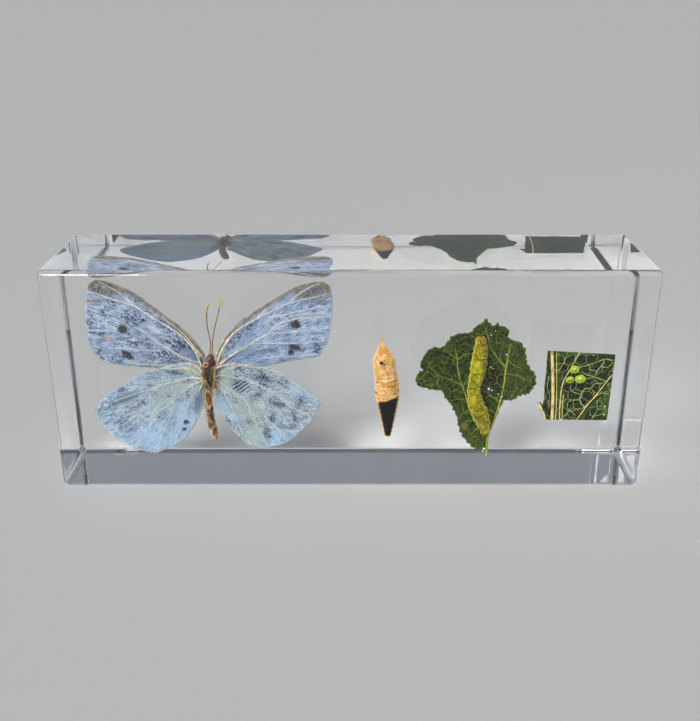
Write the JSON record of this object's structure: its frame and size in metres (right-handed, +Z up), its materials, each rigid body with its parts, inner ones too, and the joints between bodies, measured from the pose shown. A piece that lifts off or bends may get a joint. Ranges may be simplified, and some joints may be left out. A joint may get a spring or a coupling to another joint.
{
  "type": "insect in resin block",
  "caption": "Clear resin display block with a spread cabbage white butterfly, its pupa, its larva on a leaf, and its eggs on a leaf cutting set inside it.",
  "frame": {"origin": "middle of the underside of the block", "axes": "+X along the block's length towards the leaf cutting, +Y through its depth away from the side the butterfly's legs face, +Z up"},
  "size_m": [0.11, 0.0252, 0.0432],
  "materials": {
    "clear_resin": "polished, clear",
    "wing": "pale blue-white wing scales with cream veins and dark spots",
    "insect_body": "dark brown, hairy",
    "antenna": "orange-brown with yellow clubs",
    "leg": "tan",
    "pupa": "peach-beige case, black at its lower end",
    "leaf": "dark green, crinkled, with yellow veins",
    "larva": "translucent yellow-green",
    "egg": "yellow-green, smooth"
  },
  "bodies": {
    "root": {"resin_block": "clear_resin", "butterfly_body": "insect_body", "left_forewing": "wing", "right_forewing": "wing", "left_hindwing": "wing", "right_hindwing": "wing", "left_antenna": "antenna", "right_antenna": "antenna", "left_leg": "leg", "right_leg": "leg", "pupa_case": "pupa", "cabbage_leaf": "leaf", "larva": "larva", "leaf_cutting": "leaf", "egg_1": "egg", "egg_2": "egg", "egg_3": "egg"}
  },
  "joints": []
}
